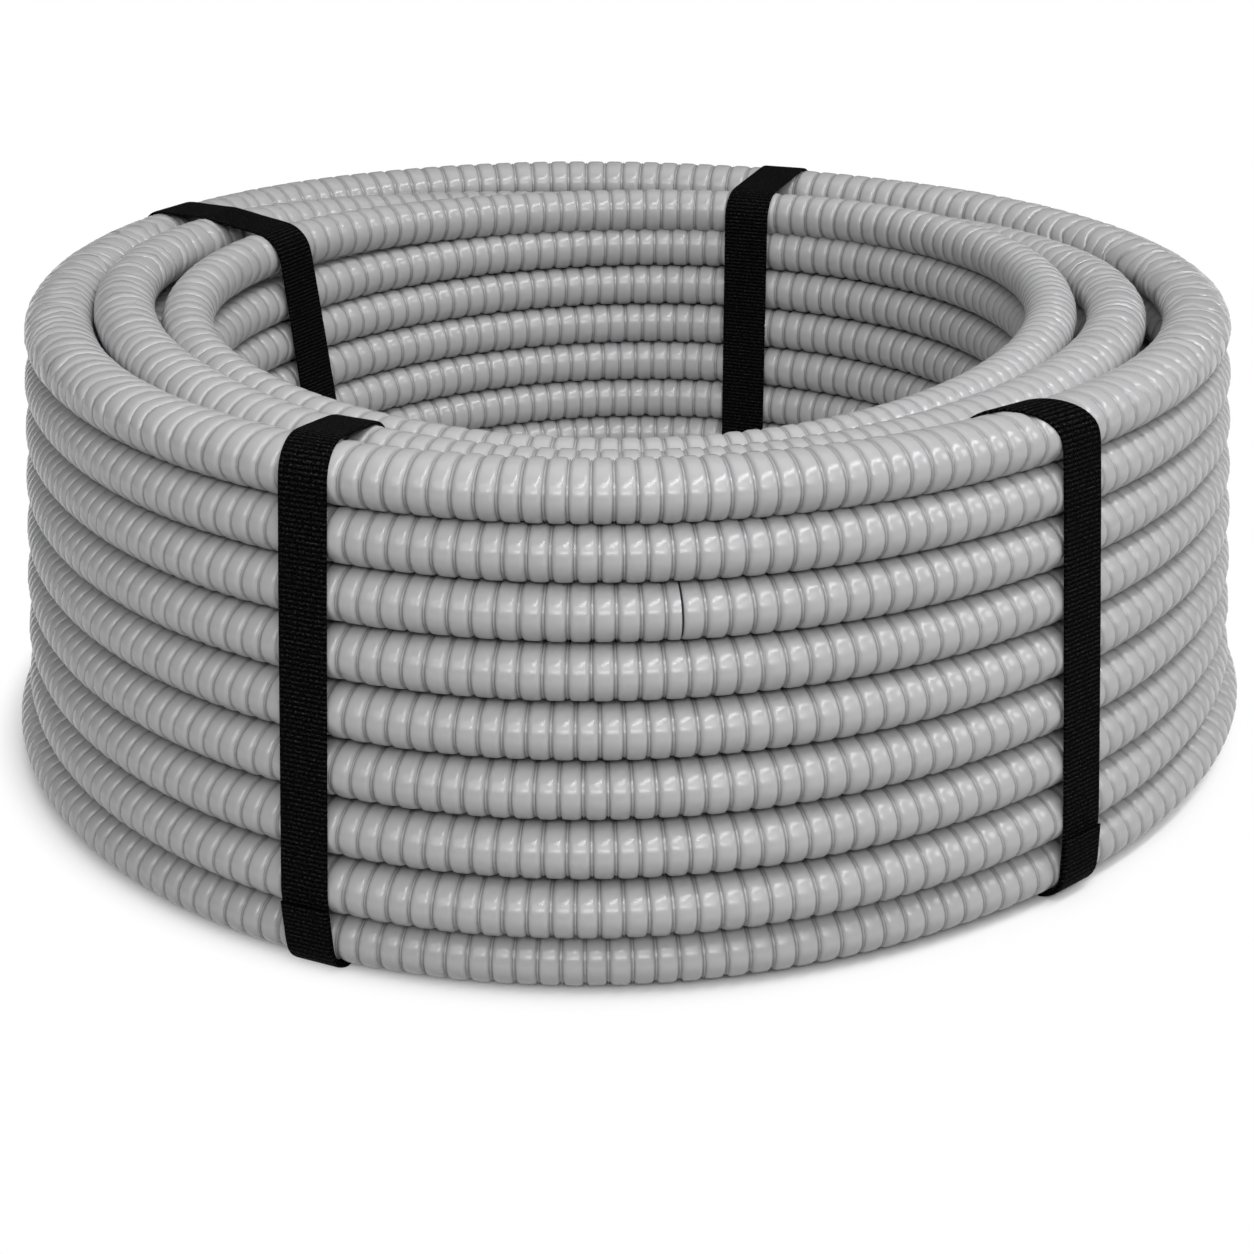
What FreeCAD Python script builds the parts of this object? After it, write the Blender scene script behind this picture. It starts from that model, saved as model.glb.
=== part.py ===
import FreeCAD, Part
import math
import os
import Sketcher

# Coil of 25 mm corrugated conduit, lying flat and held by four webbing straps.
# The coil is turned as one solid: nine rows of turns high and three rings wide,
# a little wider at its foot than at its top, with the ribs of the conduit left
# smooth. Millimetres, Z up, the floor at Z = 0, the coil's axis on the Z axis and
# the front of the coil towards -Y.

os.makedirs("parts", exist_ok=True)
doc = FreeCAD.newDocument("conduit_coil")
sheet = doc.addObject("Spreadsheet::Sheet", "Dimensions")

# Driving dimensions: alias, value, meaning.
DIMENSIONS = [
    ("tube_radius", 12.5, "half the conduit's outside diameter"),
    ("turn_press", 0.6, "how far a turn is pressed below its round height, above and below its centre"),
    ("outer_spread", 2.4, "how far an outer turn is spread beyond its round width, on each side"),
    ("middle_spread", 0.9, "how far a middle turn is spread beyond its round width, on each side"),
    ("foot_press", 0.35, "how far the second outer turn is pressed into the bottom one"),
    ("press_step", 0.35, "how much further each next outer turn is pressed into the one below it"),
    ("inner_press", 1.8, "how far the straps press each inner turn into the next"),
    ("top_sink", 2.6, "how far the inner and middle turns of the top row sink below the rest"),
    ("inner_ring_radius", 198.4, "axis of the coil to the middle of the inner turns"),
    ("inner_gap", 2.7, "gap between the inner and the middle turn of the top row"),
    ("outer_gap", 4.2, "gap between the middle and the outer turn of the top row"),
    ("ring_join", 6.5, "how deep past the turns' centres the grooves between the rings go"),
    ("lean_angle", 4.6, "how far the outer turns lean out from the coil's axis towards the foot"),
    ("strap_width", 21.0, "width of the webbing"),
    ("strap_thickness", 1.2, "thickness of the webbing"),
    ("strap_clearance", 0.5, "space between the webbing and the turns"),
    ("front_left_angle", -24.0, "strap's place round the coil, from the front, positive to the right"),
    ("front_right_angle", 39.7, "strap's place round the coil"),
    ("rear_left_angle", -118.4, "strap's place round the coil"),
    ("rear_right_angle", 158.8, "strap's place round the coil"),
]
for row, (alias, value, meaning) in enumerate(DIMENSIONS, start=1):
    sheet.set(f"A{row}", meaning)
    sheet.set(f"B{row}", str(value))
    sheet.setAlias(f"B{row}", alias)
doc.recompute()

ROWS = 9
DIM = {alias: value for alias, value, meaning in DIMENSIONS}


def new_body(name):
    """Add a body whose label is also the name of its file."""
    body = doc.addObject("PartDesign::Body", name)
    body.Label = name
    return body


def new_sketch(body, name):
    """Add a sketch on the body's own XZ plane: X is the radius, Y the height."""
    sketch = body.newObject("Sketcher::SketchObject", name)
    plane = [f for f in body.Origin.OriginFeatures if "XZ" in f.Name][0]
    sketch.AttachmentSupport = [(plane, "")]
    sketch.MapMode = "FlatFace"
    return sketch


def point(x, y):
    return FreeCAD.Vector(x, y, 0)


def drive(sketch, kind, *args, name, formula):
    """Add one dimension, its last argument the value now, and bind it to the sheet."""
    index = sketch.addConstraint(Sketcher.Constraint(kind, *args))
    sketch.renameConstraint(index, name)
    sketch.setExpression(f"Constraints.{name}", formula)
    return index


# The coil's section is a closed outline made of arcs, one for each turn that
# shows: nine down the outside, nine down the bore, and one between them on
# each end. The outer and middle turns are pressed to ovals, and the inner ones
# stay round. Each arc meets its neighbour where the two turns press together,
# and on the ends a short line joins the rings, deep in the groove between them.

TOP = ROWS - 1
HALF_HEIGHT = DIM["tube_radius"] - DIM["turn_press"]
HALF_WIDTH = {
    "inner": HALF_HEIGHT,
    "middle": DIM["tube_radius"] + DIM["middle_spread"],
    "outer": DIM["tube_radius"] + DIM["outer_spread"],
}
HALF_HEIGHT_FORMULA = "(Dimensions.tube_radius - Dimensions.turn_press)"
HALF_WIDTH_FORMULA = {
    "inner": HALF_HEIGHT_FORMULA,
    "middle": "(Dimensions.tube_radius + Dimensions.middle_spread)",
    "outer": "(Dimensions.tube_radius + Dimensions.outer_spread)",
}


def rise_to(ring, number):
    """From the bottom turn's centre up to a turn's, now and in the spreadsheet's own terms."""
    if ring == "outer":
        steps = number * (number - 1) // 2
        rise = number * (2 * HALF_HEIGHT - DIM["foot_press"]) - steps * DIM["press_step"]
        formula = (f"({number} * (2 * {HALF_HEIGHT_FORMULA} - Dimensions.foot_press)"
                   f" - {steps} * Dimensions.press_step)")
        return rise, formula
    rise = number * (2 * HALF_HEIGHT - DIM["inner_press"])
    formula = f"({number} * (2 * {HALF_HEIGHT_FORMULA} - Dimensions.inner_press))"
    if number == TOP:
        return rise - DIM["top_sink"], f"({formula} - Dimensions.top_sink)"
    return rise, formula


def row_height(ring, number):
    """Floor to a turn's centre, now and as a formula: row 0 is the lowest."""
    rise, formula = rise_to(ring, number)
    height = DIM["strap_thickness"] + DIM["strap_clearance"] + HALF_HEIGHT + rise
    strap_formula = "Dimensions.strap_thickness + Dimensions.strap_clearance"
    return height, f"{strap_formula} + {HALF_HEIGHT_FORMULA} + {formula}"


def ring_radius(ring, number):
    """Axis of the coil to a turn's centre, now and as a formula."""
    inner = DIM["inner_ring_radius"]
    middle = inner + HALF_WIDTH["inner"] + DIM["inner_gap"] + HALF_WIDTH["middle"]
    middle_formula = (f"(Dimensions.inner_ring_radius + {HALF_HEIGHT_FORMULA}"
                      f" + Dimensions.inner_gap + {HALF_WIDTH_FORMULA['middle']})")
    if ring == "inner":
        return inner, "Dimensions.inner_ring_radius"
    if ring == "middle" and number == TOP:
        return middle, middle_formula
    top_rise, top_formula = rise_to("outer", TOP)
    rise, rise_formula = rise_to("outer", number)
    outer = (middle + HALF_WIDTH["middle"] + DIM["outer_gap"] + HALF_WIDTH["outer"]
             + (top_rise - rise) * math.tan(math.radians(DIM["lean_angle"])))
    outer_formula = (f"({middle_formula} + {HALF_WIDTH_FORMULA['middle']} + Dimensions.outer_gap"
                     f" + {HALF_WIDTH_FORMULA['outer']}"
                     f" + ({top_formula} - {rise_formula}) * tan(Dimensions.lean_angle * 1 deg))")
    if ring == "middle":
        return (inner + outer) / 2, f"(Dimensions.inner_ring_radius + {outer_formula}) / 2"
    return outer, outer_formula


def centre_of(ring, number):
    return point(ring_radius(ring, number)[0], row_height(ring, number)[0])


def meeting(ring, number, side):
    """Where a turn meets the one below it: side is 1 outside, -1 in the bore."""
    upper = centre_of(ring, number)
    lower = centre_of(ring, number - 1)
    # The ovals are narrowed to circles, crossed, and widened again.
    narrow = HALF_HEIGHT / HALF_WIDTH[ring]
    apart = point((upper.x - lower.x) * narrow, upper.y - lower.y)
    reach = math.sqrt(HALF_HEIGHT ** 2 - (apart.Length / 2) ** 2)
    sideways = point(apart.y / narrow, -apart.x) * (side * reach / apart.Length)
    return (upper + lower) * 0.5 + sideways


def join(ring, number, side):
    """Where an end turn joins the next ring: side is 1 away from the axis, -1 towards it."""
    deep = -DIM["ring_join"] if number == TOP else DIM["ring_join"]
    reach = HALF_WIDTH[ring] * math.sqrt(1 - (deep / HALF_HEIGHT) ** 2)
    return centre_of(ring, number) + point(side * reach, deep)


coil = new_body("conduit_coil")
section = new_sketch(coil, "coil_section")

# Each turn's arc, anticlockwise from the inside of the lowest outer turn.
TURNS = [("outer", 0, join("outer", 0, -1), meeting("outer", 1, 1))]
for number in range(1, TOP):
    TURNS.append(("outer", number, meeting("outer", number, 1), meeting("outer", number + 1, 1)))
TURNS.append(("outer", TOP, meeting("outer", TOP, 1), join("outer", TOP, -1)))
TURNS.append(("middle", TOP, join("middle", TOP, 1), join("middle", TOP, -1)))
TURNS.append(("inner", TOP, join("inner", TOP, 1), meeting("inner", TOP, -1)))
for number in range(TOP - 1, 0, -1):
    TURNS.append(("inner", number, meeting("inner", number + 1, -1), meeting("inner", number, -1)))
TURNS.append(("inner", 0, meeting("inner", 1, -1), join("inner", 0, 1)))
TURNS.append(("middle", 0, join("middle", 0, -1), join("middle", 0, 1)))


def turn_arc(ring, number, start, end):
    """The part of a turn's round or oval that shows, anticlockwise from start to end."""
    centre = centre_of(ring, number)
    wide = HALF_WIDTH[ring]
    first = math.atan2((start.y - centre.y) / HALF_HEIGHT, (start.x - centre.x) / wide)
    last = math.atan2((end.y - centre.y) / HALF_HEIGHT, (end.x - centre.x) / wide)
    if last <= first + 1e-6:
        last += 2 * math.pi
    if ring == "inner":
        return Part.ArcOfCircle(Part.Circle(centre, FreeCAD.Vector(0, 0, 1), HALF_HEIGHT), first, last)
    oval = Part.Ellipse(centre + point(wide, 0), centre + point(0, HALF_HEIGHT), centre)
    return Part.ArcOfEllipse(oval, first, last)


geometry = []
for position, (ring, number, start, end) in enumerate(TURNS):
    arc = section.addGeometry(turn_arc(ring, number, start, end), False)
    geometry.append(("arc", arc, ring, number))
    following = TURNS[(position + 1) % len(TURNS)][2]
    if (following - end).Length > 1e-3:
        line = section.addGeometry(Part.LineSegment(end, following), False)
        geometry.append(("line", line, ring, number))

# In a constraint, 1 stands for an element's start, 2 for its end and 3 for its
# centre. The first turn of each ring gets the ring's size and the rest are made
# equal to it. An oval also gets its long axis, as a level construction line.
first_of = {}
for position, (kind, index, ring, number) in enumerate(geometry):
    before = geometry[position - 1][1]
    following = geometry[(position + 1) % len(geometry)][1]
    section.addConstraint(Sketcher.Constraint("Coincident", index, 2, following, 1))
    if kind == "line":
        for tip in ((before, 2), (following, 1)):
            centre = (tip[0], 3)
            low, high = (tip, centre) if number == TOP else (centre, tip)
            drive(section, "DistanceY", *low, *high, DIM["ring_join"], name=f"join_{tip[0]}_{tip[1]}",
                  formula="Dimensions.ring_join")
        continue
    turn = f"{ring}_{number}"
    radius, radius_formula = ring_radius(ring, number)
    height, height_formula = row_height(ring, number)
    drive(section, "DistanceX", -1, 1, index, 3, radius, name=f"{turn}_radius", formula=radius_formula)
    drive(section, "DistanceY", -1, 1, index, 3, height, name=f"{turn}_height", formula=height_formula)
    if ring in first_of:
        section.addConstraint(Sketcher.Constraint("Equal", first_of[ring], index))
    if ring != "inner":
        centre = centre_of(ring, number)
        half = point(HALF_WIDTH[ring], 0)
        axis = section.addGeometry(Part.LineSegment(centre + half, centre - half), True)
        section.addConstraint(Sketcher.Constraint("InternalAlignment:EllipseMajorDiameter", axis, index))
        section.addConstraint(Sketcher.Constraint("Horizontal", axis))
    if ring in first_of:
        continue
    first_of[ring] = index
    if ring == "inner":
        drive(section, "Radius", index, HALF_HEIGHT, name="inner_turn_radius", formula=HALF_HEIGHT_FORMULA)
        continue
    drive(section, "DistanceX", axis, 2, axis, 1, 2 * HALF_WIDTH[ring], name=f"{ring}_turn_width",
          formula=f"2 * {HALF_WIDTH_FORMULA[ring]}")
    half = point(0, HALF_HEIGHT)
    axis = section.addGeometry(Part.LineSegment(centre + half, centre - half), True)
    section.addConstraint(Sketcher.Constraint("InternalAlignment:EllipseMinorDiameter", axis, index))
    drive(section, "DistanceY", axis, 2, axis, 1, 2 * HALF_HEIGHT, name=f"{ring}_turn_height",
          formula=f"2 * {HALF_HEIGHT_FORMULA}")
doc.recompute()

turned = coil.newObject("PartDesign::Revolution", "coil_turned")
turned.Profile = section
turned.ReferenceAxis = (section, ["V_Axis"])
turned.Angle = 360.0
coil.Tip = turned
doc.recompute()

# Each strap is one closed loop of webbing, drawn up round the section of the
# coil, so its outer run leans as the outer turns do and its top run slopes to
# the sunken inner turn. The bore wall curves towards a flat strap's edges, so
# the strap stands off from it by the rise of that curve over half the
# webbing's width.

CORNER_RADIUS = HALF_HEIGHT + DIM["strap_clearance"]
CORNER = f"({HALF_HEIGHT_FORMULA} + Dimensions.strap_clearance)"
BORE = f"(Dimensions.inner_ring_radius - {CORNER})"
INNER_CORNER = f"sqrt({BORE} ^ 2 - (Dimensions.strap_width / 2) ^ 2) + {CORNER}"
OUTER_SHIFT = f"{HALF_WIDTH_FORMULA['outer']} - {HALF_HEIGHT_FORMULA}"


def strap_corners():
    """The four corners that the webbing goes round: each one's place, now and as formulas."""
    bore = DIM["inner_ring_radius"] - CORNER_RADIUS
    inner = math.sqrt(bore ** 2 - (DIM["strap_width"] / 2) ** 2) + CORNER_RADIUS
    corners = []
    for label, ring, number in (("low_outer", "outer", 0), ("high_outer", "outer", TOP),
                                ("high_inner", "inner", TOP), ("low_inner", "inner", 0)):
        x, x_formula = ring_radius(ring, number)
        y, y_formula = row_height(ring, number)
        if ring == "inner":
            x, x_formula = inner, INNER_CORNER
        else:
            x += HALF_WIDTH["outer"] - HALF_HEIGHT
            x_formula += f" + {OUTER_SHIFT}"
        corners.append((label, point(x, y), x_formula, y_formula))
    return corners


def strap_loop(sketch, name, corner_formula, corner):
    """Draw one rounded four-sided loop round the section, every corner driven."""
    corners = strap_corners()
    outwards = []
    for position, (label, centre, x_formula, y_formula) in enumerate(corners):
        run = corners[(position + 1) % 4][1] - centre
        outwards.append(math.atan2(-run.x, run.y))
    arcs = []
    for position, (label, centre, x_formula, y_formula) in enumerate(corners):
        first = outwards[position - 1]
        last = outwards[position]
        if last < first:
            last += 2 * math.pi
        circle = Part.Circle(centre, FreeCAD.Vector(0, 0, 1), corner)
        arcs.append(sketch.addGeometry(Part.ArcOfCircle(circle, first, last), False))
    for position, (label, centre, x_formula, y_formula) in enumerate(corners):
        offset = point(math.cos(outwards[position]), math.sin(outwards[position])) * corner
        following = corners[(position + 1) % 4][1]
        line = sketch.addGeometry(Part.LineSegment(centre + offset, following + offset), False)
        sketch.addConstraint(Sketcher.Constraint("Tangent", arcs[position], 2, line, 1))
        sketch.addConstraint(Sketcher.Constraint("Tangent", line, 2, arcs[(position + 1) % 4], 1))
        if position:
            sketch.addConstraint(Sketcher.Constraint("Equal", arcs[0], arcs[position]))
        drive(sketch, "DistanceX", -1, 1, arcs[position], 3, centre.x, name=f"{name}_{label}_reach",
              formula=x_formula)
        drive(sketch, "DistanceY", -1, 1, arcs[position], 3, centre.y, name=f"{name}_{label}_height",
              formula=y_formula)
    drive(sketch, "Radius", arcs[0], corner, name=f"{name}_radius", formula=corner_formula)


straps = []
for place in ("front_left", "front_right", "rear_left", "rear_right"):
    strap = new_body(f"strap_{place}")
    outline = new_sketch(strap, f"{place}_outline")
    strap_loop(outline, "coil_side", CORNER, CORNER_RADIUS)
    strap_loop(outline, "outer_side", f"{CORNER} + Dimensions.strap_thickness",
               CORNER_RADIUS + DIM["strap_thickness"])
    woven = strap.newObject("PartDesign::Pad", f"{place}_webbing")
    woven.Profile = outline
    woven.setExpression("Length", "Dimensions.strap_width")
    woven.Midplane = True
    strap.Tip = woven
    # The section is drawn along +X, and the front of the coil is at -Y.
    strap.Placement = FreeCAD.Placement(
        FreeCAD.Vector(0, 0, 0), FreeCAD.Rotation(FreeCAD.Vector(0, 0, 1), DIM[f"{place}_angle"] - 90)
    )
    strap.setExpression("Placement.Rotation.Angle", f"(Dimensions.{place}_angle - 90) * 1 deg")
    straps.append(strap)
doc.recompute()

for item in doc.Objects:
    if "Invalid" in item.State or "Error" in item.State:
        raise RuntimeError(f"{item.Name} is in state {item.State}")
for body in [coil] + straps:
    if body.Shape.isNull() or not body.Shape.isValid():
        raise RuntimeError(f"{body.Label} has no valid shape")
    solids = body.Shape.Solids
    if len(solids) != 1:
        raise RuntimeError(f"{body.Label} has {len(solids)} solids")
    body.Shape.exportStep(f"parts/{body.Label}.step")
    box = body.Shape.BoundBox
    print(f"{body.Label}: {box.XLength:.2f} x {box.YLength:.2f} x {box.ZLength:.2f}, from z {box.ZMin:.2f}")
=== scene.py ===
import math

import bpy
import numpy as np
from mathutils import Matrix, Vector


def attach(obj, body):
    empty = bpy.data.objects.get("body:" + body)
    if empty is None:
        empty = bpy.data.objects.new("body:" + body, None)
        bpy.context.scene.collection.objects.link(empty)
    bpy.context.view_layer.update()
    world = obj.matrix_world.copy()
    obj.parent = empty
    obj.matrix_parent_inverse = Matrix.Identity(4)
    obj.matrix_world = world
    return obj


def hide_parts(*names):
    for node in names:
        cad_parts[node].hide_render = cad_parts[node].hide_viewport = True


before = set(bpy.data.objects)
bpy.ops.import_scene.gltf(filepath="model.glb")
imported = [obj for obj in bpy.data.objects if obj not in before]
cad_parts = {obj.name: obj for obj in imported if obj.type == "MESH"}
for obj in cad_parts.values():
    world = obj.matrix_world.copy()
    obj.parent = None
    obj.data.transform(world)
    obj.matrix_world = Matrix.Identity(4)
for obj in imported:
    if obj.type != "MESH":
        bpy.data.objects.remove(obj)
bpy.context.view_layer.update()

# The turns of conduit: one long tube of light grey plastic, wound in level rows
# three turns wide. Wide smooth ribs stand between narrow grooves, each with a
# thin bead along its floor. The rows above press the tube a little flat.

# Millimetres. The straps pass under the lowest row, and lift it off the floor.
ROWS = 9
ROW_HEIGHT = 22.0
STRAP_ROOM = 1.5
MM = 0.001


class Shade:
    """A socket of one node tree; sums written on it add Math nodes."""

    def __init__(self, tree, socket=None):
        self.tree = tree
        self.socket = socket

    def node(self, kind, settings=None, out=0, **values):
        """Add a node: its settings first, then its sockets' values or links."""
        made = self.tree.nodes.new(kind)
        for name, value in (settings or {}).items():
            if name == "cases":
                while len(made.index_switch_items) < value:
                    made.index_switch_items.new()
            else:
                setattr(made, name, value)
        for name, value in values.items():
            numbered = name[0] == "i" and name[1:].isdigit()
            target = made.inputs[int(name[1:]) if numbered else name.replace("_", " ")]
            if isinstance(value, Shade):
                self.tree.links.new(value.socket, target)
            else:
                target.default_value = value
        return Shade(self.tree, made.outputs[out])

    def maths(self, operation, *terms):
        """Add one Math node on this tree."""
        sockets = {f"i{n}": term for n, term in enumerate(terms)}
        return self.node("ShaderNodeMath", {"operation": operation}, **sockets)

    def parts(self):
        """The three numbers of a vector."""
        split = self.node("ShaderNodeSeparateXYZ", Vector=self).socket.node
        return [Shade(self.tree, socket) for socket in split.outputs]

    def feed(self, shader, name):
        """Link this value to one socket of a shader."""
        self.tree.links.new(self.socket, shader.inputs[name])

    def __add__(self, other):
        return self.maths("ADD", self, other)

    def __radd__(self, other):
        return self.maths("ADD", other, self)

    def __sub__(self, other):
        return self.maths("SUBTRACT", self, other)

    def __rsub__(self, other):
        return self.maths("SUBTRACT", other, self)

    def __mul__(self, other):
        return self.maths("MULTIPLY", self, other)

    def __rmul__(self, other):
        return self.maths("MULTIPLY", other, self)

    def __truediv__(self, other):
        return self.maths("DIVIDE", self, other)

    def __pow__(self, other):
        return self.maths("POWER", self, other)


def new_material(name):
    """Start a material, and return it with its tree and its Principled shader."""
    material = bpy.data.materials.new(name)
    material.use_nodes = True
    return material, Shade(material.node_tree), material.node_tree.nodes["Principled BSDF"]


conduit_plastic, tree, shader = new_material("conduit_plastic")
place = tree.node("ShaderNodeTexCoord", out=3)
groove = tree.node("ShaderNodeAttribute", {"attribute_name": "groove_shade"}, out=2)
tone = tree.node("ShaderNodeAttribute", {"attribute_name": "rib_tone"}, out=2)
cloud = tree.node("ShaderNodeTexNoise", Vector=place, Scale=14.0, Detail=3.0, Roughness=0.55)
scuff = tree.node("ShaderNodeTexNoise", Vector=place, Scale=140.0, Detail=4.0, Roughness=0.7)
grain = tree.node("ShaderNodeTexNoise", Vector=place, Scale=1100.0, Detail=2.0, Roughness=0.5)
plastic_level = 0.435
# Painted shade: the colour is darkened on the groove floors, where the grooves would lie in shadow.
painted_shade_strength = 0.55
mottle = 0.97 + tone * 0.03 + cloud * 0.05 + scuff * 0.02
level = (1.0 - groove * painted_shade_strength) * mottle * plastic_level
grey = tree.node("ShaderNodeCombineColor", Red=level, Green=level * 0.995, Blue=level * 1.01)
grey.feed(shader, "Base Color")
(0.12 + cloud * 0.08 + scuff * 0.08 + groove * 0.12).feed(shader, "Roughness")
relief = tree.node("ShaderNodeBump", Strength=0.10, Distance=0.0004, Height=grain * 0.5 + scuff)
relief.feed(shader, "Normal")
shader.inputs["IOR"].default_value = 1.5


def ribbed_turn_tree():
    """Geometry Nodes: one level turn of ribbed tube, built from its own sizes."""
    group = bpy.data.node_groups.new("ribbed_turn", "GeometryNodeTree")
    group.interface.new_socket("Geometry", in_out="OUTPUT", socket_type="NodeSocketGeometry")
    sizes = {
        "Ring Radius": 0.26,
        "Height": 0.1,
        "Slide": (0.0, 0.0, 0.0),
        "Oval": (0.0, 0.0, 0.0),
        "Three Sided": (0.0, 0.0, 0.0),
        "Tilt": (0.0, 0.0, 0.0),
        "Warp": (0.0, 0.0, 0.0),
        "Ribs": 186.0,
        "Cut": 1000.0,
        "Stations": 1302,
        "Points Round": 18,
        "Half Width": 0.0149,
        "Half Height": 0.0113,
        "Crowding": 0.0,
        "Groove Depth": 0.0010,
        "Start": 0.0,
        "Span": 2 * math.pi,
        "Bunching": (0.13, 0.10, 0.0),
        "Sway": 0.0005,
        "Ruck": 0.0,
        "Seed": 1,
        "Closed": True,
    }
    kinds = {bool: "Bool", int: "Int", float: "Float", tuple: "Vector"}
    for name, value in sizes.items():
        kind = "NodeSocket" + kinds[type(value)]
        socket = group.interface.new_socket(name, in_out="INPUT", socket_type=kind)
        socket.default_value = value
    group.interface.new_socket("Finish", in_out="INPUT", socket_type="NodeSocketMaterial")
    entry = group.nodes.new("NodeGroupInput")
    leave = group.nodes.new("NodeGroupOutput")
    tree = Shade(group)

    def given(name):
        return Shade(group, entry.outputs[name])

    # A rib's stations, from its near rim over its crown to the far side of the
    # groove: how far along the rib each is, how deep, and how much painted shade
    # darkens its colour there, most on the groove floors.
    stations = (
        (0.095, 0.76, 0.10),
        (0.155, 0.28, 0.0),
        (0.28, 0.04, 0.0),
        (0.72, 0.04, 0.0),
        (0.845, 0.28, 0.0),
        (0.905, 0.76, 0.10),
        (0.945, 1.35, 1.0),
        (1.0, 0.66, 0.0),
        (1.055, 1.35, 1.0),
    )
    index = tree.node("GeometryNodeInputIndex")
    rib = tree.maths("FLOOR", index / len(stations))
    station = tree.maths("FLOORED_MODULO", index, float(len(stations)))

    def by_station(column):
        cases = {f"i{n + 1}": row[column] for n, row in enumerate(stations)}
        settings = {"data_type": "FLOAT", "cases": len(stations)}
        return tree.node("GeometryNodeIndexSwitch", settings, i0=station, **cases)

    def chance(low, high, seed):
        pick = {"i2": low, "i3": high, "ID": rib, "Seed": given("Seed") * 7.0 + seed}
        return tree.node("FunctionNodeRandomValue", {"data_type": "FLOAT"}, out=1, **pick)

    turn = tree.maths("MINIMUM", rib + by_station(0), given("Cut")) - stations[0][0]
    pitch_play = 0.02
    turn = turn + chance(-pitch_play, pitch_play, 3.0)
    angle = given("Start") + turn / given("Ribs") * given("Span")
    front, left, thrice = given("Bunching").parts()
    closer = front * tree.maths("SINE", angle) + left * tree.maths("COSINE", angle)
    angle = angle - closer - thrice * tree.maths("SINE", angle * 3.0)

    def wave(name, times):
        rise, fall, _ = given(name).parts()
        return rise * tree.maths("SINE", angle * times) + fall * tree.maths("COSINE", angle * times)

    sine = tree.maths("SINE", angle)
    cosine = tree.maths("COSINE", angle)
    # Where the tube bends hardest, at the two sides, every other groove closes
    # and the rest open into creases.
    bend_sharpness = 7.0
    crease_gain = 60.0
    opened = 0.80
    closed_most = 1.65
    lighter = 0.55
    lighter_most = 0.35
    creased = tree.maths("MINIMUM", given("Ruck") * crease_gain, 1.0)
    bent = tree.maths("ABSOLUTE", sine) ** bend_sharpness * creased
    every_other = tree.maths("FLOORED_MODULO", rib, 2.0)
    depth = by_station(1) * (1.0 + bent * (opened - every_other * closed_most))
    # At the creased sides the painted groove shade is made lighter.
    shade = by_station(2) * (1.0 - bent * (lighter + every_other * lighter_most))
    # Each ring strays a little from its wave, sideways and up.
    ring_seed = given("Seed") * 3.7
    where = tree.node("ShaderNodeCombineXYZ", X=sine, Y=cosine, Z=ring_seed)
    stray = tree.node("ShaderNodeTexNoise", Vector=where, Scale=1.6, Detail=1.0)
    where = tree.node("ShaderNodeCombineXYZ", X=sine, Y=cosine, Z=ring_seed + 53.0)
    lift = tree.node("ShaderNodeTexNoise", Vector=where, Scale=1.9, Detail=1.0)
    radius = given("Ring Radius") + wave("Slide", 1.0) + wave("Oval", 2.0) + wave("Three Sided", 3.0)
    radius = radius + (stray - 0.5) * 2.0 * given("Sway")
    height = given("Height") + wave("Tilt", 1.0) + wave("Warp", 2.0) + (lift - 0.5) * given("Sway")
    spot = tree.node("ShaderNodeCombineXYZ", X=radius * sine, Y=radius * cosine * -1.0, Z=height)
    circle = ("GeometryNodeCurvePrimitiveCircle", {"mode": "RADIUS"})
    path = tree.node(*circle, Resolution=given("Stations"), Radius=1.0)
    path = tree.node("GeometryNodeSetSplineCyclic", Geometry=path, Cyclic=given("Closed"))
    path = tree.node("GeometryNodeSetPosition", Geometry=path, Position=spot)
    path = tree.node("GeometryNodeSetCurveNormal", {"mode": "Z_UP"}, Curve=path)
    # The painted groove shade goes to the material, with a random tone for each rib.
    for name, value in (("groove_shade", shade), ("rib_tone", chance(0.0, 1.0, 1.0))):
        settings = {"data_type": "FLOAT", "domain": "POINT"}
        path = tree.node("GeometryNodeStoreNamedAttribute", settings, Geometry=path, Name=name, Value=value)
    rib_play = 0.006
    size = 1.0 - depth * given("Groove Depth") / given("Half Height") + chance(-rib_play, rib_play, 2.0)

    # The pressed section, with its points crowded towards the side that shows.
    step = tree.node("GeometryNodeInputIndex") / given("Points Round") * (2 * math.pi)
    step = step - given("Crowding") * tree.maths("SINE", step)
    across = tree.maths("COSINE", step) * given("Half Width")
    above = tree.maths("SINE", step) * given("Half Height")
    oval = tree.node(*circle, Resolution=given("Points Round"), Radius=1.0)
    corner = tree.node("ShaderNodeCombineXYZ", X=across, Y=above, Z=0.0)
    oval = tree.node("GeometryNodeSetPosition", Geometry=oval, Position=corner)

    tube = tree.node("GeometryNodeCurveToMesh", Curve=path, Profile_Curve=oval, Scale=size, Fill_Caps=True)
    # The creases at the sides run unevenly round the tube.
    spot = tree.node("GeometryNodeInputPosition")
    x, y, _ = spot.parts()
    side = tree.maths("MINIMUM", tree.maths("ABSOLUTE", x) / given("Ring Radius"), 1.0)
    crease = tree.node("ShaderNodeTexNoise", Vector=spot, Scale=65.0, Detail=1.0)
    slip = (crease - 0.5) * side ** 4.0 * given("Ruck") / given("Ring Radius")
    along = tree.node("ShaderNodeCombineXYZ", X=y * slip * -1.0, Y=x * slip, Z=0.0)
    tube = tree.node("GeometryNodeSetPosition", Geometry=tube, Offset=along)
    tube = tree.node("GeometryNodeSetShadeSmooth", Geometry=tube, Shade_Smooth=True)
    tube = tree.node("GeometryNodeRealizeInstances", Geometry=tube)
    tube = tree.node("GeometryNodeSetMaterial", Geometry=tube, Material=given("Finish"))
    group.links.new(tube.socket, leave.inputs[0])
    return group, len(stations)


ribbed_turn, STATIONS = ribbed_turn_tree()
turns = []


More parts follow.
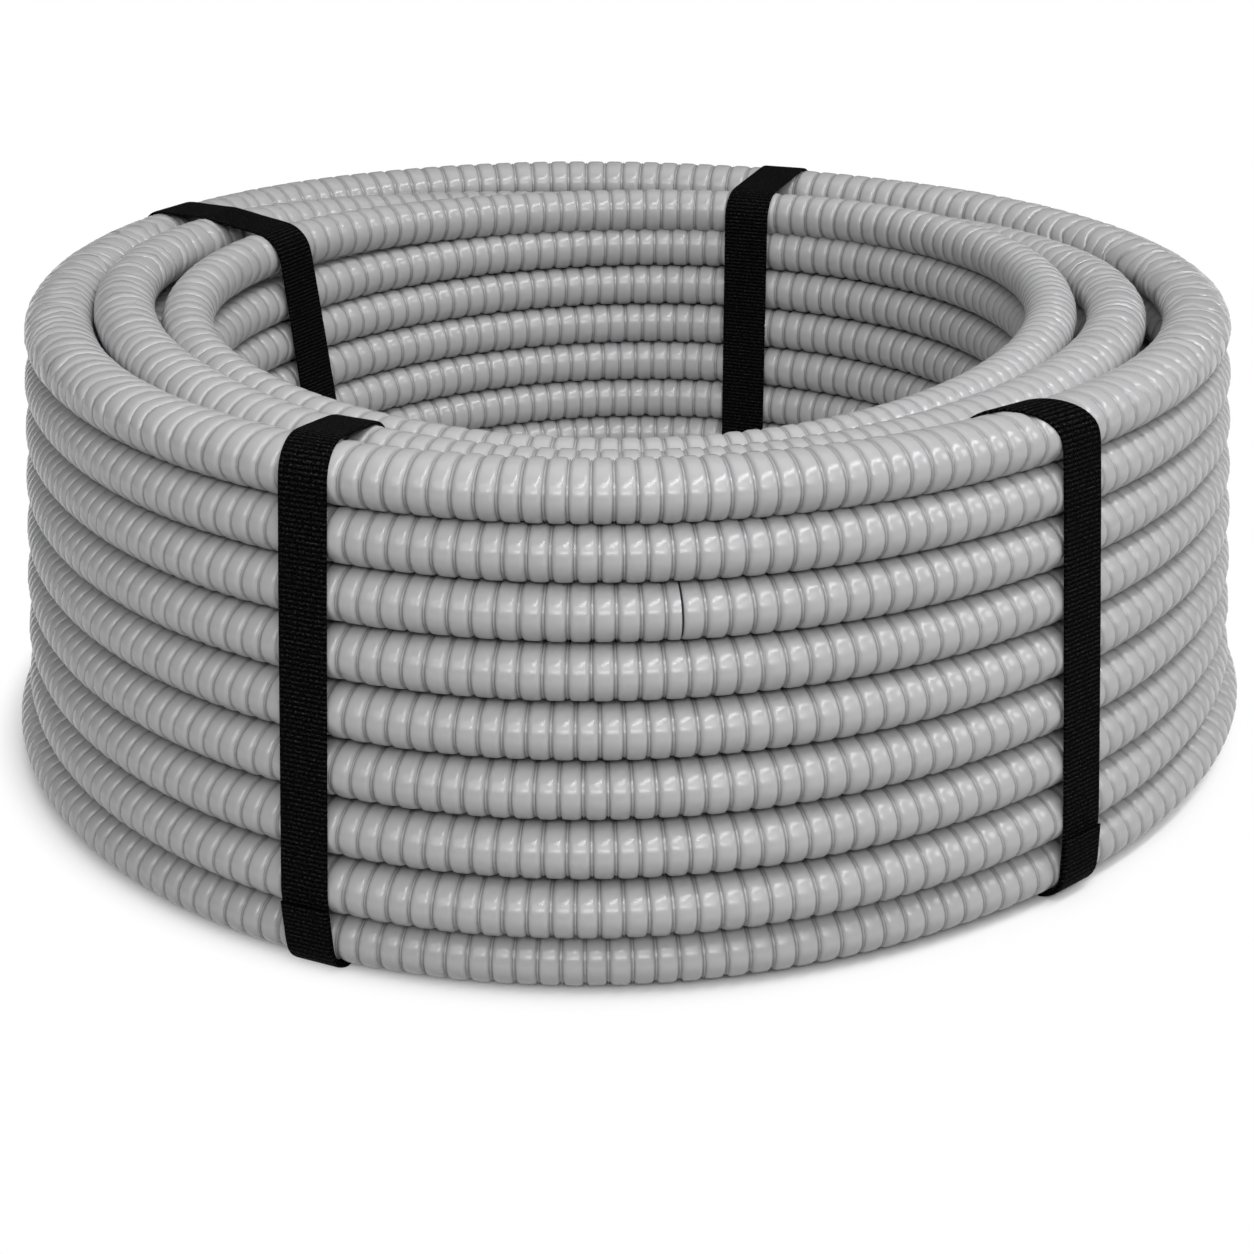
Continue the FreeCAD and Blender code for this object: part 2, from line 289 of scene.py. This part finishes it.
def wind(name, row, ribs, **sizes):
    """Make one turn as a plain mesh from the tree, and give it to the coil."""
    piece = bpy.data.objects.new(name, bpy.data.meshes.new(name))
    bpy.context.collection.objects.link(piece)
    modifier = piece.modifiers.new("turn", "NODES")
    modifier.node_group = ribbed_turn
    inputs = [item for item in ribbed_turn.interface.items_tree if item.in_out == "INPUT"]
    sockets = {item.name: item.identifier for item in inputs}
    sizes.setdefault("stations", int(ribs * STATIONS))
    sizes["ribs"] = float(ribs)
    sizes["height"] = (STRAP_ROOM + ROW_HEIGHT * (ROWS - row - 0.5) + sizes.pop("lift")) * MM
    sizes["ring_radius"] *= MM
    modifier[sockets["Finish"]] = conduit_plastic
    for key, value in sizes.items():
        # A pair is the sine and the cosine part of a wave, in millimetres.
        if isinstance(value, tuple) and len(value) == 2:
            value = (value[0] * MM, value[1] * MM, 0.0)
        modifier[sockets[key.replace("_", " ").title()]] = value
    graph = bpy.context.evaluated_depsgraph_get()
    mesh = bpy.data.meshes.new_from_object(piece.evaluated_get(graph), depsgraph=graph)
    piece.modifiers.clear()
    piece.data = mesh
    mesh.name = name
    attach(piece, "root")
    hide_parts("conduit_coil")
    turns.append(piece)


def between(top, foot, row):
    """A size in a row, from its values in the top row and in the lowest."""
    share = row / (ROWS - 1)
    if isinstance(top, tuple):
        return tuple(a + (b - a) * share for a, b in zip(top, foot))
    return top + (foot - top) * share


# The outer column of turns, in millimetres. Its rings widen a little downwards,
# are slightly three-sided, and rise most in the middle rows. Each pair of numbers
# is a sine and a cosine wave round the ring, counted from the front to the right.
CUT_ROW = 2
CUT_GAP = 0.0042
for row in range(ROWS):
    share = row / (ROWS - 1)
    foot = row == ROWS - 1
    ends = {}
    if row == CUT_ROW:
        # Two lengths of the tube meet here at the front, cut square.
        ends = {"stations": 179 * STATIONS + 4, "cut": 179.6, "closed": False}
        ends["span"] = 2 * math.pi - CUT_GAP
    wind(
        f"outer_turn_{row + 1}",
        row,
        ribs=178 if row == 0 else 179.5 if row == CUT_ROW else 180,
        ring_radius=between(258.9, 273.9, row) - 0.6 * foot,
        lift=0.3 if foot else between(2.1, -0.4, row) + 12.8 * share * (1 - share),
        slide=between((-1.6, -1.6), (-0.6, 0.9), row),
        oval=(1.5 - 2.9 * share, 0.9 * share - 5.4 * foot),
        three_sided=between((-4.1, 4.3), (-4.1, 3.3), row),
        tilt=(0.0, 0.0) if foot else between((-2.0, 1.6), (0.5, -0.7), row),
        points_round=22 if row == 0 else 16,
        crowding=0.0 if row == 0 else 0.4,
        bunching=(0.10, 0.04, 0.022) if row == 0 else (0.13, 0.10, 0.0),
        ruck=0.022 if row == 0 else 0.0,
        start=0.196 if row == CUT_ROW else 0.011 * row,
        seed=row + 1,
        **ends,
    )

# The inner column, whose turns face the eye of the coil. The top turn sinks at
# the front and at the back, where the straps pull it down.
for row in range(ROWS):
    top = row == 0
    wind(
        f"inner_turn_{row + 1}",
        row,
        ribs=144,
        ring_radius=between(198.4, 197.6, row),
        lift=(0.2 if row < ROWS - 1 else 0.3) - 2.4 * top,
        slide=between((1.0, 1.5), (1.5, 0.6), row),
        oval=between((-3.7, 0.7), (-1.0, -1.2), row),
        three_sided=between((1.2, 2.4), (0.1, 0.5), row),
        tilt=(-1.6, -3.2) if top else (0.4, 0.0),
        warp=(0.0, -3.3) if top else (0.0, 0.0),
        half_width=0.0116,
        bunching=(0.10, -0.157, 0.0),
        points_round=20 if top else 12,
        crowding=0.0 if top else -0.4,
        ruck=0.010 if top else 0.0,
        start=0.017 * row,
        seed=row + 21,
    )

# The middle ring: the two rows that show from above, and the lowest. Its top
# turn sinks between its neighbours at the front and the back.
for name, row in (("middle_turn_top", 0), ("middle_turn_second", 1), ("middle_turn_low", ROWS - 1)):
    wind(
        name,
        row,
        ribs=163,
        ring_radius=226.4,
        lift=-2.2 if row == 0 else 0.3,
        slide=(-1.0, -1.6),
        oval=(-0.6, -0.8),
        three_sided=(-0.7, 4.2),
        tilt=(-5.3, 2.9) if row == 0 else (0.0, 0.0),
        warp=(1.4, -5.5) if row == 0 else (0.0, 0.0),
        half_width=0.0134,
        bunching=(0.11, 0.0, 0.0),
        points_round=20 if row == 0 else 12,
        ruck=0.016 if row == 0 else 0.0,
        start=0.5,
        seed=row + 41,
    )


# The straps: four bands of flat black webbing, woven with close ribs across,
# pulled tight by machine and welded low on the outside. The rear two go round
# the whole coil; the front two dive between its columns of turns.

WEFT_PITCH = 0.0019
WARP_PITCH = 0.0011
WEBBING_LEVEL = 0.13
webbing, tree, shader = new_material("webbing")
across, along, _ = tree.node("ShaderNodeUVMap", {"uv_map": "webbing"}).parts()
flat = tree.node("ShaderNodeCombineXYZ", X=across, Y=along, Z=0.0)
weft = tree.maths("SINE", along * (2 * math.pi / WEFT_PITCH))
warp = tree.maths("SINE", across * (2 * math.pi / WARP_PITCH))
stretched = tree.node("ShaderNodeMapping", Vector=flat, Scale=(900.0, 1500.0, 1.0))
fleck = tree.node("ShaderNodeTexNoise", Vector=stretched, Scale=1.0, Detail=2.0, Roughness=0.6)
level = fleck ** 5.0 * (weft + 1.2) * WEBBING_LEVEL
tree.node("ShaderNodeCombineColor", Red=level, Green=level, Blue=level * 1.04).feed(shader, "Base Color")
(0.50 + fleck * 0.20).feed(shader, "Roughness")
weave = weft * 0.6 + weft * warp * 0.3 + fleck * 0.5
tree.node("ShaderNodeBump", Strength=0.8, Distance=0.0006, Height=weave).feed(shader, "Normal")
shader.inputs["Specular IOR Level"].default_value = 0.006


def hull(points):
    """The convex outline of some points, anticlockwise."""
    points = sorted(set(map(tuple, points)))

    def side(source):
        line = []
        for point in source:
            while len(line) > 1:
                (ax, ay), (bx, by) = line[-2:]
                if (bx - ax) * (point[1] - ay) - (by - ay) * (point[0] - ax) > 0:
                    break
                line.pop()
            line.append(point)
        return line[:-1]

    return np.array(side(points) + side(points[::-1]))


def strap(name, degrees, width, columns, lean=0.0, skew=0.0):
    """Lay one band of webbing round some columns of turns, at an angle round the coil.

    skew turns its top run, and lean its inner run, by so many degrees.
    """
    thick = 0.0012
    clear = 0.0002
    lap = 0.045
    lap_rise = 4
    weld_height = 0.033
    step = 0.002
    margin = 0.002
    corner_drop = 0.014
    corner_run = 0.03
    turned = math.radians(degrees)
    out = np.array((math.sin(turned), -math.cos(turned)))
    side = np.array((math.cos(turned), math.sin(turned)))
    found = []
    for piece in turns:
        if piece.name.split("_")[0] not in columns:
            continue
        spots = np.empty(len(piece.data.vertices) * 3)
        piece.data.vertices.foreach_get("co", spots)
        spots = spots.reshape(-1, 3)
        reach = spots[:, :2] @ out
        sideways = spots[:, :2] @ side
        keep = (np.abs(sideways) < width / 2 + margin) & (reach > 0)
        found.append(np.stack((reach[keep], spots[keep, 2]), axis=1))
    edge = hull(np.concatenate(found))
    # Even steps along the outline, then smoothed, so that the webbing bends softly.
    closed = np.vstack((edge, edge[:1]))
    run = np.concatenate(([0.0], np.cumsum(np.linalg.norm(np.diff(closed, axis=0), axis=1))))
    count = int(run[-1] / step)
    steps = np.linspace(0.0, run[-1], count, endpoint=False)
    line = np.stack([np.interp(steps, run, closed[:, n]) for n in (0, 1)], axis=1)
    for _ in range(2):
        line = (np.roll(line, 1, axis=0) + 2 * line + np.roll(line, -1, axis=0)) / 4
    ahead = np.roll(line, -1, axis=0) - np.roll(line, 1, axis=0)
    ahead /= np.linalg.norm(ahead, axis=1)[:, None]
    normal = np.stack((ahead[:, 1], -ahead[:, 0]), axis=1)
    # Its upper end stops low on the outside, where the weld shows as a step.
    extra = int(lap / step)
    inside = line[:, 0] < line[:, 0].mean()
    first = int(np.argmin(np.abs(line[:, 1] - weld_height) + inside)) - extra
    order = (np.arange(count + extra) + first) % count
    line, normal = line[order], normal[order]
    over = np.clip((np.arange(len(line)) - count + lap_rise) / lap_rise, 0.0, 1.0) * (thick + 0.0001)
    # A strap's top run may slant, and its inner run walk round the bore downwards.
    inward = np.clip((line[:, 0].mean() - line[:, 0]) / corner_run, 0.0, 1.0)
    shoulder = line[line[:, 1] > line[:, 1].max() - corner_drop, 0].max()
    across = np.clip((shoulder - line[:, 0]) / (shoulder - line[:, 0].min()), 0.0, 1.0)
    fall = np.clip(1.0 - line[:, 1] / line[:, 1].max(), 0.0, 1.0)
    swing = np.radians(lean * inward * fall + skew * across)
    # The webbing's section, in shares of its width and of its thickness.
    upper = [(-0.5, 0.25), (-0.49, 0.85), (-0.45, 1.0), (-0.2, 1.0), (0.0, 1.0), (0.2, 1.0)]
    lower = [(0.45, 1.0), (0.49, 0.85), (0.5, 0.25), (0.45, 0.0), (0.0, 0.0), (-0.45, 0.0)]
    profile = upper + lower
    verts = []
    flats = []
    for n, (spot, face) in enumerate(zip(line, normal)):
        angle = turned + swing[n]
        for sideways, high in profile:
            reach, rise = spot + face * (clear + over[n] + high * thick)
            x = reach * math.sin(angle) + sideways * width * math.cos(angle)
            y = -reach * math.cos(angle) + sideways * width * math.sin(angle)
            verts.append((x, y, max(rise, 0.0)))
            flats.append((sideways * width + width / 2, n * step))
    many = len(profile)
    rounds = len(line)
    faces = []
    for n in range(rounds - 1):
        for m in range(many):
            a = n * many + m
            b = n * many + (m + 1) % many
            faces.append((a, b, b + many, a + many))
    faces.append(tuple(range(many))[::-1])
    faces.append(tuple(range((rounds - 1) * many, rounds * many)))
    mesh = bpy.data.meshes.new(name)
    mesh.from_pydata(verts, [], faces)
    layer = mesh.uv_layers.new(name="webbing")
    for loop in mesh.loops:
        layer.data[loop.index].uv = flats[loop.vertex_index]
    mesh.polygons.foreach_set("use_smooth", [len(face) == 4 for face in faces])
    mesh.materials.append(webbing)
    mesh.update()
    piece = bpy.data.objects.new(f"{name}_webbing", mesh)
    bpy.context.collection.objects.link(piece)
    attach(piece, "root")
    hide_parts(name)


ALL_COLUMNS = ("outer", "middle", "inner")
strap("strap_front_left", -24.0, 0.0200, ("outer", "middle"), skew=-3.4)
strap("strap_front_right", 39.7, 0.0215, ("outer",), skew=-5.0)
strap("strap_rear_left", -120.9, 0.0260, ALL_COLUMNS, lean=-10.0, skew=5.0)
strap("strap_rear_right", 158.8, 0.0240, ALL_COLUMNS)


# The studio: a wide white sheet of paper on the floor, under six soft lights,
# three of them in front, one above, a small one at the right, one behind. Away
# from the coil the sheet shows pure white, and near it keeps the shadow.

paper, tree, shader = new_material("studio_paper")
shader.inputs["Roughness"].default_value = 0.9
shader.inputs["Specular IOR Level"].default_value = 0.2
rays = tree.node("ShaderNodeLightPath").socket.node
seen = Shade(tree.tree, rays.outputs["Is Camera Ray"])
for kind in ("Is Glossy Ray", "Is Transmission Ray"):
    seen = tree.maths("MAXIMUM", seen, Shade(tree.tree, rays.outputs[kind]))
# The sheet shows whiter than it lights the coil.
lit_level = 0.38
shown_more = 0.56
level = lit_level + seen * shown_more
tree.node("ShaderNodeCombineColor", Red=level, Green=level, Blue=level).feed(shader, "Base Color")
shadow_edge = 0.278
white_edge = 0.303
foot_x = -0.004
foot_y = 0.005
x, y, _ = tree.node("ShaderNodeTexCoord", out=3).parts()
away = ((x - foot_x) ** 2.0 + (y - foot_y) ** 2.0) ** 0.5
smooth = {"interpolation_type": "SMOOTHSTEP"}
fade = tree.node("ShaderNodeMapRange", smooth, i0=away, i1=shadow_edge, i2=white_edge)
white = tree.node("ShaderNodeEmission", Strength=1.0)
mixed = tree.node("ShaderNodeMixShader", i0=seen * fade, i1=Shade(tree.tree, shader.outputs[0]), i2=white)
mixed.feed(tree.tree.nodes["Material Output"], "Surface")
floor_mesh = bpy.data.meshes.new("studio_floor")
far = 60.0
corners = [(-far, -far, 0.0), (far, -far, 0.0), (far, far, 0.0), (-far, far, 0.0)]
floor_mesh.from_pydata(corners, [], [(0, 1, 2, 3)])
floor_mesh.materials.append(paper)
studio_floor = bpy.data.objects.new("studio_floor", floor_mesh)
bpy.context.collection.objects.link(studio_floor)

world = bpy.data.worlds.new("studio")
bpy.context.scene.world = world
world.use_nodes = True
backing = world.node_tree.nodes["Background"]
backing.inputs["Color"].default_value = (1.0, 1.0, 1.0, 1.0)
backing.inputs["Strength"].default_value = 0.12


def softbox(name, place, size, power):
    """Hang one soft light at a place, turned to the middle of the coil."""
    aim = Vector((0.0, 0.0, 0.1))
    light = bpy.data.lights.new(name, "AREA")
    light.shape = "RECTANGLE"
    light.size, light.size_y = size
    light.energy = power
    lamp = bpy.data.objects.new(name, light)
    lamp.location = place
    lamp.rotation_mode = "QUATERNION"
    lamp.rotation_quaternion = (aim - Vector(place)).to_track_quat("-Z", "Y")
    bpy.context.collection.objects.link(lamp)
    return lamp


softbox("softbox_front", (0.0, -1.4, 1.3), (2.4, 1.0), 15.5)
softbox("softbox_near", (0.1, -1.5, 1.0), (0.9, 0.25), 4.0)
softbox("softbox_strip", (0.6, -0.55, 1.75), (2.0, 0.3), 18.0)
softbox("softbox_above", (0.0, 0.5, 1.8), (1.4, 1.2), 3.5)
softbox("softbox_right", (1.5, -0.3, 1.2), (0.5, 0.5), 4.0)
behind = softbox("softbox_back", (-0.2, 1.7, 0.7), (2.0, 0.8), 10.0)
# The one behind fills the far side only, with no glare on the top of the coil.
behind.visible_glossy = False


# The camera: a long lens that looks down on the coil from in front, almost level
# across, with the small shift that frames the coil as the photograph does.

FOCAL_PIXELS = 2110.0
IMAGE_PIXELS = 1254
SHIFT_PIXELS = (3.2, -100.0)
DOWN_DEGREES = 21.50
LEAN_DEGREES = -0.43
BACK_FROM_AXIS = 0.9501
ABOVE_COIL_FOOT = 0.4484
camera = bpy.data.cameras.new("camera")
camera.sensor_width = 36.0
camera.lens = FOCAL_PIXELS / IMAGE_PIXELS * camera.sensor_width
camera.shift_x = SHIFT_PIXELS[0] / IMAGE_PIXELS
camera.shift_y = SHIFT_PIXELS[1] / IMAGE_PIXELS
camera.clip_start = 0.01
camera.clip_end = 200.0
view = bpy.data.objects.new("camera", camera)
bpy.context.collection.objects.link(view)
down = Matrix.Rotation(math.radians(90.0 - DOWN_DEGREES), 3, "X")
lean = Matrix.Rotation(math.radians(LEAN_DEGREES), 3, "Z")
stand = Matrix.Translation((0.0, -BACK_FROM_AXIS, ABOVE_COIL_FOOT + STRAP_ROOM * MM))
view.matrix_world = stand @ (down @ lean).to_4x4()
bpy.context.scene.camera = view
bpy.context.scene.view_settings.view_transform = "Standard"
